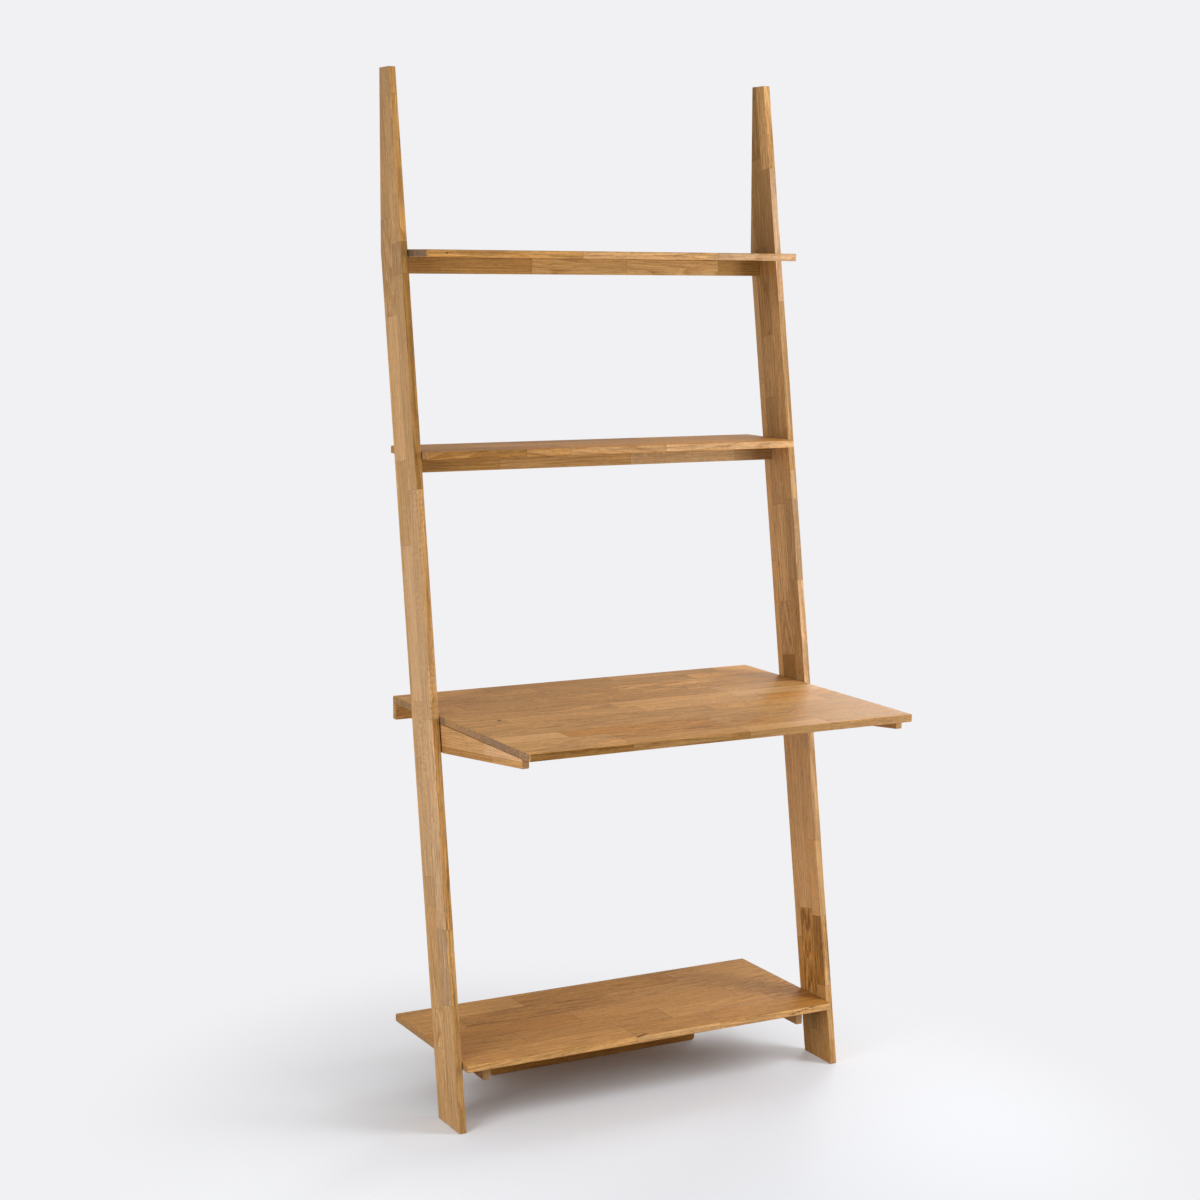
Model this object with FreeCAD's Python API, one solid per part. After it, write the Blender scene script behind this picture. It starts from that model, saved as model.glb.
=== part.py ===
import FreeCAD, Part
import math
import os

Vec = FreeCAD.Vector

# Ladder desk in solid oak that leans against a wall. Millimetres, Z up, X across
# the desk, the wall at +Y. Heights are of the upper faces of the boards.

# ---- overall ----
overall_width = 800.0
rail_height = 1900.0
desk_depth = 605.0

# ---- side rails ----
rail_thickness = 14.0
rail_depth = 96.0
foot_reach = 342.0
head_reach = 44.0

# ---- boards ----
board_thickness = 14.0
shelf_depth = 180.0
bottom_shelf_depth = 342.0
top_shelf_height = 1573.0
middle_shelf_height = 1212.0
desk_height = 741.0
bottom_shelf_height = 124.0
board_end_gap = 1.5
board_corner_radius = 4.0
edge_radius = 1.2

# ---- battens under the boards ----
batten_thickness = 14.0
batten_height = 30.0
apron_inset = 16.0
desk_apron_end_inset = 1.0
cleat_end_inset = 45.5
cleat_front_setback = 32.0
cleat_rear_setback = 60.0

# ---- rear foot board ----
foot_thickness = 14.0
foot_wall_gap = 71.0
foot_end_inset = 160.5
foot_corner_radius = 7.0

# ---- desk brackets ----
bracket_thickness = 14.0
bracket_gap = 2.5
bracket_rail_height = 53.0
bracket_front_height = 18.0
bracket_front_setback = 33.0
bracket_rear_inset = 4.0

# ---- fits ----
fit_clearance = 0.1
hole_end_clearance = 0.4
rail_skin = 4.0
board_skin = 4.0

# ---- dowels ----
dowel_diameter = 8.0
dowel_length = 30.0
dowel_chamfer = 1.0
apron_dowel_drop = 7.0
shelf_dowel_inset = 24.0

# ---- cam connectors ----
cam_diameter = 12.0
cam_backset = 24.0
cam_rise = 6.0
cam_throat_diameter = 7.0
connector_thread_diameter = 6.0
connector_shank_diameter = 4.6
connector_head_diameter = 6.4
connector_head_length = 3.0
fixing_pitch = 32.0

# ---- bracket bolts ----
bolt_diameter = 6.0
bolt_head_diameter = 13.0
bolt_head_height = 3.0
bolt_socket_width = 4.0
bolt_engagement = 8.0
bolt_pitch = 48.0
bolt_drop = 26.0
insert_diameter = 9.0
spacer_diameter = 18.0

# ---- wood screws ----
screw_diameter = 3.5
screw_head_diameter = 7.0
screw_head_height = 2.4
screw_point_length = 4.0
screw_recess_depth = 10.0
bracket_screw_grip = 14.0
angle_screw_length = 12.0
cross_recess_width = 1.0
cross_recess_depth = 1.4
apron_screw_pitch = 250.0
cleat_screw_inset = 30.0
bracket_screw_front_inset = 28.0
bracket_screw_rear_inset = 40.0

# ---- steel angles behind the foot board ----
angle_leg = 26.0
angle_width = 22.0
angle_thickness = 2.0
angle_spacing = 300.0
angle_hole_diameter = 4.0
angle_hole_offset = 16.0

# ---- wall fixing ----
wall_hole_diameter = 5.0
wall_hole_sink_diameter = 10.0
wall_hole_spacing = 600.0

# ---- derived places ----
wall_y = desk_depth / 2.0
inner_half = overall_width / 2.0 - rail_thickness
board_half = inner_half - board_end_gap
lean = (foot_reach - head_reach) / rail_height
desk_underside = desk_height - board_thickness
bottom_underside = bottom_shelf_height - board_thickness
bracket_face = inner_half - bracket_gap
bracket_inner = bracket_face - bracket_thickness
bolt_height = desk_underside - bolt_drop
rail_hole_depth = rail_thickness - rail_skin
board_hole_depth = board_thickness - board_skin


def rail_front(z):
    """Y of the rails' front edge at a height."""
    return wall_y - foot_reach + lean * z


def rail_back(z):
    """Y of the rails' back edge at a height: sloping, then upright at the wall."""
    return min(wall_y, rail_front(z) + rail_depth)


def rail_middle(z):
    """Y of the middle of the sloping rail at a height."""
    return rail_front(z) + rail_depth / 2.0


def box(x0, x1, y0, y1, z0, z1):
    """Plain box between two corners."""
    return Part.makeBox(x1 - x0, y1 - y0, z1 - z0, Vec(x0, y0, z0))


def rod(radius, start, direction, length):
    """Round bar from a point along a direction."""
    return Part.makeCylinder(radius, length, start, direction)


def mirrored(shape):
    """The same shape on the other side of the desk."""
    return shape.mirror(Vec(0, 0, 0), Vec(1, 0, 0))


def both_sides(shapes):
    """Left-hand shapes with their right-hand twins."""
    return shapes + [mirrored(s) for s in shapes]


def cut_all(shape, tools):
    """Shape with every tool cut away."""
    return shape.cut(tools) if tools else shape


def is_vertical(edge):
    """True for an edge that runs straight up."""
    a = edge.Vertexes[0].Point
    b = edge.Vertexes[-1].Point
    return abs(a.x - b.x) < 0.001 and abs(a.y - b.y) < 0.001


def eased_board(x0, x1, y0, y1, z0, z1):
    """Flat board with rounded corners in plan and eased edges above and below."""
    body = box(x0, x1, y0, y1, z0, z1)
    uprights = [e for e in body.Edges if is_vertical(e)]
    body = body.makeFillet(board_corner_radius, uprights)
    rims = [e for e in body.Edges if not is_vertical(e)]
    return body.makeFillet(edge_radius, rims)


def eased_batten(x0, x1, y0, y1, z0, z1):
    """Square-cut batten with all its edges eased."""
    body = box(x0, x1, y0, y1, z0, z1)
    return body.makeFillet(edge_radius, body.Edges)


def side_profile(points, x0, thickness):
    """Plate of a given thickness from points (y, z) of its side outline."""
    corners = [Vec(x0, y, z) for y, z in points]
    face = Part.Face(Part.makePolygon(corners + corners[:1]))
    return face.extrude(Vec(thickness, 0, 0))


# ---- places of the fixings on the left-hand side ----

def apron_back(shelf_height):
    """Y of an apron's back face: set in from the rail's back edge."""
    return rail_back(shelf_height - board_thickness - batten_height) - apron_inset


def apron_middle(shelf_height):
    """Centre (y, z) of an apron's end."""
    y = apron_back(shelf_height) - batten_thickness / 2.0
    return y, shelf_height - board_thickness - batten_height / 2.0


def apron_dowel_spots():
    """Places (y, z) of the dowels in the aprons' ends."""
    middles = [apron_middle(h) for h in (top_shelf_height, middle_shelf_height)]
    return [(y, z - apron_dowel_drop) for y, z in middles]


def apron_cam_spots():
    """Places (y, z) of the connectors in the aprons' ends."""
    middles = [apron_middle(h) for h in (top_shelf_height, middle_shelf_height)]
    return [(y, z + cam_rise) for y, z in middles]


def shelf_dowel_spots():
    """Places (y, z) of the dowels in the ends of the upper shelves."""
    levels = [h - board_thickness / 2.0 for h in (top_shelf_height, middle_shelf_height)]
    return [(rail_front(z) + shelf_dowel_inset, z) for z in levels]


def bottom_cam_spot():
    """Place (y, z) of the connector in the end of the bottom shelf."""
    z = bottom_shelf_height - board_thickness / 2.0
    return rail_middle(z), z


def bottom_dowel_spots():
    """Places (y, z) of the dowels in the end of the bottom shelf."""
    y, z = bottom_cam_spot()
    return [(y - fixing_pitch, z), (y + fixing_pitch, z)]


def bolt_spots():
    """Places (y, z) of the bolts through a desk bracket."""
    y = rail_middle(bolt_height)
    return [(y - bolt_pitch / 2.0, bolt_height), (y + bolt_pitch / 2.0, bolt_height)]


# ---- holes ----

def rail_holes(diameter, spots):
    """Blind holes bored into the left rail from its inner face."""
    radius = diameter / 2.0 + fit_clearance
    starts = [Vec(-inner_half, y, z) for y, z in spots]
    return [rod(radius, p, Vec(-1, 0, 0), rail_hole_depth) for p in starts]


def dowel_reach(gap):
    """Length of dowel that stands in the board past the gap at the rail."""
    return dowel_length - (rail_hole_depth - hole_end_clearance) - gap


def board_dowel_holes(gap, spots):
    """Holes for dowels in a board's left end, the end lying a gap off the rail."""
    radius = dowel_diameter / 2.0 + fit_clearance
    depth = dowel_reach(gap) + hole_end_clearance
    starts = [Vec(-inner_half + gap, y, z) for y, z in spots]
    return [rod(radius, p, Vec(1, 0, 0), depth) for p in starts]


def throat_hole(gap, spot):
    """Hole in a board's left end that the connector's shank runs through."""
    y, z = spot
    start = Vec(-inner_half + gap, y, z)
    return rod(cam_throat_diameter / 2.0, start, Vec(1, 0, 0), cam_backset)


def cam_centre(gap, spot):
    """Axis point of a cam in the middle of the board's thickness."""
    y, z = spot
    return Vec(-inner_half + gap + cam_backset, y, z)


def cam_pocket(gap, spot, outward, thickness):
    """Round pocket for a cam, open on the face that outward points to."""
    centre = cam_centre(gap, spot)
    mouth = centre + outward * (thickness / 2.0)
    depth = cam_depth(thickness) + hole_end_clearance
    return rod(cam_diameter / 2.0 + fit_clearance, mouth, outward * -1.0, depth)


def screw_hole(x, y, z_low, z_seat, z_end):
    """Upward screw hole: wide recess below the head's seat, narrow hole above."""
    up = Vec(0, 0, 1)
    recess = rod(screw_head_diameter / 2.0 + 2.0 * fit_clearance,
                 Vec(x, y, z_low - edge_radius), up, z_seat - z_low + edge_radius)
    narrow = rod(screw_diameter / 2.0 + fit_clearance,
                 Vec(x, y, z_seat), up, z_end - z_seat + hole_end_clearance)
    return [recess, narrow]


# ---- fasteners ----

def dowel(gap, spot):
    """Wooden dowel between the left rail and a board's end."""
    y, z = spot
    reach = rail_hole_depth - hole_end_clearance
    start = Vec(-inner_half - reach, y, z)
    pin = rod(dowel_diameter / 2.0, start, Vec(1, 0, 0), dowel_length)
    return pin.makeChamfer(dowel_chamfer, [e for e in pin.Edges if e.Closed])


def cam_depth(thickness):
    """Height of a cam housing in a board of a given thickness."""
    return thickness - board_skin


def cam_housing(gap, spot, outward, thickness):
    """Cam housing with a throat for the connector and a cross recess on its face."""
    centre = cam_centre(gap, spot)
    mouth = centre + outward * (thickness / 2.0)
    body = rod(cam_diameter / 2.0, mouth, outward * -1.0, cam_depth(thickness))
    throat = rod(cam_throat_diameter / 2.0, centre - Vec(cam_diameter, 0, 0),
                 Vec(1, 0, 0), cam_diameter + connector_head_length)
    slots = cross_recess(mouth, outward, cam_diameter * 0.6)
    return body.cut([throat] + slots)


def cross_recess(centre, outward, span):
    """Two crossed slots sunk into a face that looks along outward."""
    slot = Part.makeBox(span, cross_recess_width, 2.0 * cross_recess_depth,
                        Vec(-span / 2.0, -cross_recess_width / 2.0, -cross_recess_depth))
    other = slot.copy()
    other.rotate(Vec(0, 0, 0), Vec(0, 0, 1), 90)
    turn = FreeCAD.Rotation(Vec(0, 0, 1), outward)
    for piece in (slot, other):
        piece.Placement = FreeCAD.Placement(centre, turn).multiply(piece.Placement)
    return [slot, other]


def connector(gap, spot):
    """Connector pin: threaded into the left rail, with its head inside the cam."""
    y, z = spot
    reach = rail_hole_depth - hole_end_clearance
    along = Vec(1, 0, 0)
    thread = rod(connector_thread_diameter / 2.0, Vec(-inner_half - reach, y, z), along, reach)
    shank_length = gap + cam_backset - connector_head_length / 2.0
    shank = rod(connector_shank_diameter / 2.0, Vec(-inner_half, y, z), along, shank_length)
    head = rod(connector_head_diameter / 2.0, Vec(-inner_half + shank_length, y, z),
               along, connector_head_length)
    return thread.fuse([shank, head]).removeSplitter()


def bracket_bolt(spot):
    """Flat-headed bolt with a hex socket, driven outwards through the left bracket."""
    y, z = spot
    length = bracket_thickness + bracket_gap + bolt_engagement
    seat = Vec(-bracket_inner, y, z)
    shank = rod(bolt_diameter / 2.0, seat, Vec(-1, 0, 0), length)
    head = rod(bolt_head_diameter / 2.0, seat, Vec(1, 0, 0), bolt_head_height)
    rim = [e for e in head.Edges if e.Closed and e.CenterOfMass.x > seat.x + 0.1]
    head = head.makeChamfer(bolt_head_height / 4.0, rim)
    return head.fuse(shank).cut(hex_socket(seat + Vec(bolt_head_height, 0, 0)))


def hex_socket(centre):
    """Six-sided pocket that opens towards +X."""
    radius = bolt_socket_width / math.sqrt(3.0)
    angles = [math.radians(60.0 * i) for i in range(6)]
    ring = [centre + Vec(0, radius * math.cos(a), radius * math.sin(a)) for a in angles]
    face = Part.Face(Part.makePolygon(ring + ring[:1]))
    return face.extrude(Vec(-bolt_head_height * 0.75, 0, 0))


def insert_nut(spot):
    """Threaded sleeve sunk into the left rail for a bracket bolt."""
    y, z = spot
    length = rail_hole_depth - hole_end_clearance
    start = Vec(-inner_half, y, z)
    sleeve = rod(insert_diameter / 2.0, start, Vec(-1, 0, 0), length)
    return sleeve.cut(rod(bolt_diameter / 2.0 + fit_clearance, start, Vec(-1, 0, 0), length))


def spacer(spot):
    """Ring that keeps the left bracket off the rail."""
    y, z = spot
    start = Vec(-inner_half, y, z)
    ring = rod(spacer_diameter / 2.0, start, Vec(1, 0, 0), bracket_gap)
    bore = rod(bolt_diameter / 2.0 + 2.0 * fit_clearance, start, Vec(1, 0, 0), bracket_gap)
    return ring.cut(bore)


def wood_screw(seat, direction, length):
    """Pan-head screw whose head rests on seat and whose point looks along direction."""
    up = Vec(0, 0, 1)
    body_length = length - screw_point_length
    head = rod(screw_head_diameter / 2.0, Vec(0, 0, -screw_head_height), up, screw_head_height)
    rim = [e for e in head.Edges if e.Closed and e.CenterOfMass.z < -0.1]
    head = head.makeFillet(screw_head_height / 3.0, rim)
    shank = rod(screw_diameter / 2.0, Vec(0, 0, 0), up, body_length)
    point = Part.makeCone(screw_diameter / 2.0, screw_diameter / 8.0,
                          screw_point_length, Vec(0, 0, body_length), up)
    span = screw_head_diameter * 0.6
    slots = cross_recess(Vec(0, 0, -screw_head_height), Vec(0, 0, -1), span)
    screw = head.fuse([shank, point]).cut(slots)
    screw.Placement = FreeCAD.Placement(seat, FreeCAD.Rotation(up, direction))
    return screw


# ---- wooden pieces ----

def left_rail():
    """Sloping side rail: level foot, upright back at the wall, tapering head."""
    kink_z = (foot_reach - rail_depth) / lean
    outline = [(rail_front(0), 0), (rail_back(0), 0), (wall_y, kink_z),
               (wall_y, rail_height), (rail_front(rail_height), rail_height)]
    plate = side_profile(outline, -inner_half - rail_thickness, rail_thickness)
    plate = plate.makeFillet(edge_radius, plate.Edges)
    dowels = apron_dowel_spots() + shelf_dowel_spots() + bottom_dowel_spots()
    cams = apron_cam_spots() + [bottom_cam_spot()]
    holes = rail_holes(dowel_diameter, dowels)
    holes += rail_holes(connector_thread_diameter, cams)
    holes += rail_holes(insert_diameter, bolt_spots())
    return cut_all(plate, holes)


def plain_board(height, depth):
    """Board between the rails with its back edge at the wall."""
    return eased_board(-board_half, board_half, wall_y - depth, wall_y,
                       height - board_thickness, height)


def apron_screw_places(y):
    """Places (x, y) of the screws up through an apron."""
    return [(i * apron_screw_pitch, y) for i in (-1, 0, 1)]


def apron_screw_holes(y, underside):
    """Screw holes up through an apron into the board above it."""
    holes = []
    for x, yy in apron_screw_places(y):
        low = underside - batten_height
        holes += screw_hole(x, yy, low, low + screw_recess_depth,
                            underside + board_hole_depth)
    return holes


def upper_shelf(height, spot):
    """Upper shelf, doweled to the rails and screwed to its apron."""
    board = plain_board(height, shelf_depth)
    holes = both_sides(board_dowel_holes(board_end_gap, [spot]))
    holes += apron_screw_holes(apron_middle(height)[0], height - board_thickness)
    return cut_all(board, holes)


def desk_apron_middle():
    """Y of the middle of the batten at the back of the desk top."""
    return wall_y - batten_thickness / 2.0


def desk_top():
    """Writing surface, screwed down to its brackets and back batten."""
    board = plain_board(desk_height, desk_depth)
    holes = apron_screw_holes(desk_apron_middle(), desk_underside)
    holes += both_sides(bracket_screw_holes())
    return cut_all(board, holes)


def bottom_shelf():
    """Bottom shelf, fixed to the rails with connectors and dowels."""
    board = plain_board(bottom_shelf_height, bottom_shelf_depth)
    spot = bottom_cam_spot()
    ends = board_dowel_holes(board_end_gap, bottom_dowel_spots())
    ends.append(throat_hole(board_end_gap, spot))
    ends.append(cam_pocket(board_end_gap, spot, Vec(0, 0, -1), board_thickness))
    ends += cleat_screw_holes()
    holes = both_sides(ends) + [angle_screw_hole(s) for s in angle_screws_up()]
    return cut_all(board, holes)


def apron(height, dowel_spot, cam_spot):
    """Batten between the rails that carries the back of an upper shelf."""
    back = apron_back(height)
    top = height - board_thickness
    body = eased_batten(-inner_half, inner_half, back - batten_thickness, back,
                        top - batten_height, top)
    ends = board_dowel_holes(0, [dowel_spot])
    ends.append(throat_hole(0, cam_spot))
    ends.append(cam_pocket(0, cam_spot, Vec(0, 1, 0), batten_thickness))
    holes = both_sides(ends) + apron_screw_holes(dowel_spot[0], top)
    return cut_all(body, holes)


def wall_screw_hole(x):
    """Countersunk hole for a wall screw, driven through the batten from the front."""
    back = Vec(x, wall_y, desk_underside - batten_height / 2.0)
    front = back - Vec(0, batten_thickness, 0)
    sink = (wall_hole_sink_diameter - wall_hole_diameter) / 2.0
    drill = rod(wall_hole_diameter / 2.0, back, Vec(0, -1, 0), batten_thickness)
    cone = Part.makeCone(wall_hole_sink_diameter / 2.0, wall_hole_diameter / 2.0,
                         sink, front, Vec(0, 1, 0))
    return drill.fuse(cone)


def desk_apron():
    """Batten at the wall under the back of the desk top, with wall screw holes."""
    half = board_half - desk_apron_end_inset
    body = eased_batten(-half, half, wall_y - batten_thickness, wall_y,
                        desk_underside - batten_height, desk_underside)
    holes = apron_screw_holes(desk_apron_middle(), desk_underside)
    holes += [wall_screw_hole(s * wall_hole_spacing / 2.0) for s in (-1, 1)]
    return cut_all(body, holes)


def bracket_front():
    """Y of a desk bracket's front end."""
    return wall_y - desk_depth + bracket_front_setback


def bracket_rear():
    """Y of a desk bracket's rear end, just inside the rail's back edge."""
    return rail_back(desk_underside - bracket_rail_height) - bracket_rear_inset


def bracket_shoulder():
    """Y where a bracket starts to taper: the rail's front edge at its lower corner."""
    return rail_front(desk_underside - bracket_rail_height)


def bracket_depth_at(y):
    """Height of a desk bracket at a place along it."""
    if y >= bracket_shoulder():
        return bracket_rail_height
    run = bracket_shoulder() - bracket_front()
    rise = bracket_rail_height - bracket_front_height
    return bracket_front_height + rise * (y - bracket_front()) / run


def bracket_screw_spots():
    """Y of the screws up through a desk bracket into the desk top."""
    first = bracket_front() + bracket_screw_front_inset
    last = bracket_shoulder() - bracket_screw_rear_inset
    return [first, (first + last) / 2.0, last]


def bracket_screw_holes():
    """Screw holes up through the left bracket into the desk top."""
    x = -(bracket_face + bracket_inner) / 2.0
    seat = desk_underside - bracket_screw_grip
    holes = []
    for y in bracket_screw_spots():
        low = desk_underside - bracket_depth_at(y + screw_head_diameter)
        holes += screw_hole(x, y, low, seat, desk_underside + board_hole_depth)
    return holes


def left_bracket():
    """Tapering bracket that carries the left side of the desk top."""
    top = desk_underside
    outline = [(bracket_rear(), top), (bracket_rear(), top - bracket_rail_height),
               (bracket_shoulder(), top - bracket_rail_height),
               (bracket_front(), top - bracket_front_height), (bracket_front(), top)]
    plate = side_profile(outline, -bracket_face, bracket_thickness)
    plate = plate.makeFillet(edge_radius, plate.Edges)
    radius = bolt_diameter / 2.0 + 2.0 * fit_clearance
    starts = [Vec(-bracket_face, y, z) for y, z in bolt_spots()]
    bores = [rod(radius, p, Vec(1, 0, 0), bracket_thickness) for p in starts]
    return cut_all(plate, bores + bracket_screw_holes())


def cleat_outer():
    """X of a cleat's outer face, without its sign."""
    return board_half - cleat_end_inset


def cleat_screw_places():
    """Places (x, y) of the screws up through the left cleat."""
    x = -cleat_outer() + batten_thickness / 2.0
    front = wall_y - bottom_shelf_depth + cleat_front_setback + cleat_screw_inset
    rear = wall_y - cleat_rear_setback - cleat_screw_inset
    return [(x, front), (x, (front + rear) / 2.0), (x, rear)]


def cleat_screw_holes():
    """Screw holes up through the left cleat into the bottom shelf."""
    low = bottom_underside - batten_height
    holes = []
    for x, y in cleat_screw_places():
        holes += screw_hole(x, y, low, low + screw_recess_depth,
                            bottom_underside + board_hole_depth)
    return holes


def left_cleat():
    """Batten that runs front to back under the left end of the bottom shelf."""
    outer = -cleat_outer()
    body = eased_batten(outer, outer + batten_thickness,
                        wall_y - bottom_shelf_depth + cleat_front_setback,
                        wall_y - cleat_rear_setback,
                        bottom_underside - batten_height, bottom_underside)
    return cut_all(body, cleat_screw_holes())


def foot_back():
    """Y of the rear foot board's back face."""
    return wall_y - foot_wall_gap


def rear_foot():
    """Upright board that stands on the floor under the back of the bottom shelf."""
    half = board_half - foot_end_inset
    body = box(-half, half, foot_back() - foot_thickness, foot_back(), 0, bottom_underside)
    corners = [e for e in body.Edges
               if e.BoundBox.ZMax < 0.001 and abs(abs(e.CenterOfMass.x) - half) < 0.001]
    body = body.makeFillet(foot_corner_radius, corners)
    body = body.makeFillet(edge_radius, body.Edges)
    return cut_all(body, [angle_screw_hole(s) for s in angle_screws_forward()])


# ---- steel angles ----

def angle_places():
    """X of the steel angles behind the rear foot."""
    return [-angle_spacing / 2.0, angle_spacing / 2.0]


def angle_screws_up():
    """Seats of the angle screws that go up into the bottom shelf."""
    y = foot_back() + angle_hole_offset
    return [(Vec(x, y, bottom_underside - angle_thickness), Vec(0, 0, 1))
            for x in angle_places()]


def angle_screws_forward():
    """Seats of the angle screws that go forward into the rear foot."""
    z = bottom_underside - angle_hole_offset
    return [(Vec(x, foot_back() + angle_thickness, z), Vec(0, -1, 0))
            for x in angle_places()]


def angle_screw_hole(screw):
    """Pilot hole for an angle screw, from the seat into the wood."""
    seat, direction = screw
    depth = angle_screw_length + hole_end_clearance
    return rod(screw_diameter / 2.0 + fit_clearance, seat, direction, depth)


def steel_angle(x):
    """Bent steel angle in the corner between the rear foot and the bottom shelf."""
    x0 = x - angle_width / 2.0
    y0 = foot_back()
    top = bottom_underside
    t = angle_thickness
    outline = [(y0, top), (y0, top - angle_leg), (y0 + t, top - angle_leg),
               (y0 + t, top - t), (y0 + angle_leg, top - t), (y0 + angle_leg, top)]
    plate = side_profile(outline, x0, angle_width)
    radius = angle_hole_diameter / 2.0
    up = rod(radius, Vec(x, y0 + angle_hole_offset, top - t), Vec(0, 0, 1), t)
    through = rod(radius, Vec(x, y0, top - angle_hole_offset), Vec(0, 1, 0), t)
    return plate.cut([up, through])


# ---- groups of fasteners ----

def cam_jobs():
    """End gap, place, open side and board thickness for each left-hand cam."""
    jobs = [(0, s, Vec(0, 1, 0), batten_thickness) for s in apron_cam_spots()]
    jobs.append((board_end_gap, bottom_cam_spot(), Vec(0, 0, -1), board_thickness))
    return jobs


def apron_screws():
    """Screws up through the three aprons."""
    levels = [(apron_middle(h)[0], h - board_thickness)
              for h in (top_shelf_height, middle_shelf_height)]
    levels.append((desk_apron_middle(), desk_underside))
    length = batten_height - screw_recess_depth + board_hole_depth
    drop = batten_height - screw_recess_depth
    return [wood_screw(Vec(x, yy, top - drop), Vec(0, 0, 1), length)
            for y, top in levels for x, yy in apron_screw_places(y)]


def cleat_screws():
    """Screws up through the left cleat."""
    drop = batten_height - screw_recess_depth
    length = drop + board_hole_depth
    return [wood_screw(Vec(x, y, bottom_underside - drop), Vec(0, 0, 1), length)
            for x, y in cleat_screw_places()]


def bracket_screws():
    """Screws up through the left desk bracket."""
    x = -(bracket_face + bracket_inner) / 2.0
    seat = desk_underside - bracket_screw_grip
    length = bracket_screw_grip + board_hole_depth
    return [wood_screw(Vec(x, y, seat), Vec(0, 0, 1), length) for y in bracket_screw_spots()]


def angle_screws():
    """Short screws that hold the steel angles."""
    jobs = angle_screws_up() + angle_screws_forward()
    return [wood_screw(seat, direction, angle_screw_length) for seat, direction in jobs]


def save(node, shapes):
    """Write one node's solids to its own STEP file."""
    shape = shapes[0] if len(shapes) == 1 else Part.makeCompound(shapes)
    shape.exportStep(os.path.join("parts", node + ".step"))
    print(node, len(shape.Solids), round(shape.Volume, 1), shape.isValid())


def main():
    os.makedirs("parts", exist_ok=True)
    rail = left_rail()
    bracket = left_bracket()
    cleat = left_cleat()
    dowels = apron_dowel_spots()
    cams = apron_cam_spots()
    pegs = shelf_dowel_spots()
    heights = (top_shelf_height, middle_shelf_height)
    save("left_rail", [rail])
    save("right_rail", [mirrored(rail)])
    save("top_shelf", [upper_shelf(heights[0], pegs[0])])
    save("middle_shelf", [upper_shelf(heights[1], pegs[1])])
    save("desk_top", [desk_top()])
    save("bottom_shelf", [bottom_shelf()])
    save("top_apron", [apron(heights[0], dowels[0], cams[0])])
    save("middle_apron", [apron(heights[1], dowels[1], cams[1])])
    save("desk_apron", [desk_apron()])
    save("left_desk_bracket", [bracket])
    save("right_desk_bracket", [mirrored(bracket)])
    save("left_shelf_cleat", [cleat])
    save("right_shelf_cleat", [mirrored(cleat)])
    save("rear_foot", [rear_foot()])
    save("apron_dowels", both_sides([dowel(0, s) for s in dowels]))
    save("shelf_dowels", both_sides([dowel(board_end_gap, s) for s in pegs + bottom_dowel_spots()]))
    save("cam_housings", both_sides([cam_housing(*job) for job in cam_jobs()]))
    save("cam_connectors", both_sides([connector(job[0], job[1]) for job in cam_jobs()]))
    save("bracket_bolts", both_sides([bracket_bolt(s) for s in bolt_spots()]))
    save("bracket_insert_nuts", both_sides([insert_nut(s) for s in bolt_spots()]))
    save("bracket_spacers", both_sides([spacer(s) for s in bolt_spots()]))
    save("bracket_screws", both_sides(bracket_screws()))
    save("apron_screws", apron_screws())
    save("cleat_screws", both_sides(cleat_screws()))
    save("foot_angles", [steel_angle(x) for x in angle_places()])
    save("angle_screws", angle_screws())


main()
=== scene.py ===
"""Ladder desk in oiled oak: its looks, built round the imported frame."""

import math
import random
from bisect import bisect_right
from functools import partial, reduce

import bpy
from mathutils import Matrix, Vector


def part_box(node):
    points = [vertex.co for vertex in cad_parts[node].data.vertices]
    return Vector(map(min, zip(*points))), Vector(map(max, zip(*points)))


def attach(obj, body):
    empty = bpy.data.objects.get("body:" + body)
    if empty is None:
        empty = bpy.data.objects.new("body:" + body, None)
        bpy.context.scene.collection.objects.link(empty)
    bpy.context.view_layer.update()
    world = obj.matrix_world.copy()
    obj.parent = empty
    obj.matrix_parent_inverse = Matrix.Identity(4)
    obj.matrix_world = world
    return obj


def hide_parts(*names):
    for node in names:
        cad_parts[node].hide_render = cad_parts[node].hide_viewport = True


bl_info = {
    "name": "Ladder desk in oiled oak",
    "version": (1, 0, 0),
    "blender": (4, 5, 0),
    "location": "3D View > Sidebar > Ladder desk",
    "description": "Makes the staved oak pieces, the fixings' finishes and the studio of a ladder desk",
    "category": "Object",
}

MM = 0.001
UP = Vector((0, 0, 1))
X_AXIS = Vector((1, 0, 0))
FORWARD = Vector((0, -1, 0))

# Where the fixings go into the wood, in metres. An x is measured from the desk's middle.
APRON_SCREWS_X = (-0.25, 0, 0.25)
APRON_CAM_X = 0.362
APRON_CAM_ABOVE_MIDDLE = 0.006
WALL_SCREWS_X = (-0.3, 0.3)
WALL_SCREW_DIAMETER = 0.005
SHELF_CAM_X = 0.3605
CAM_DEPTH = 0.0104
CAM_CLEARANCE = 0.0001
SCREW_RECESS_DEPTH = 0.010
SCREW_CLEARANCE = 0.0002
CLEAT_SCREW_MARGIN = 0.030
BRACKET_SCREW_FRONT_MARGIN = 0.028
BRACKET_SCREW_REAR_MARGIN = 0.040
BRACKET_SCREW_GRIP = 0.014
BIT_OVERRUN = 0.002
SLOPED_BIT_OVERRUN = 0.006

# Faces that meet at more than this angle meet in an edge.
EDGE_ANGLE = math.radians(35)
# Cosine above which an edge counts as running along an axis.
ALONG_AXIS = 0.9

# Where the camera stands, and its azimuth, elevation and roll in degrees.
CAMERA_PLACE = (-2.03949, -3.82918, 1.55534)
CAMERA_TURNS = (30.3858, 7.15, 0.5885)

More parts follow.
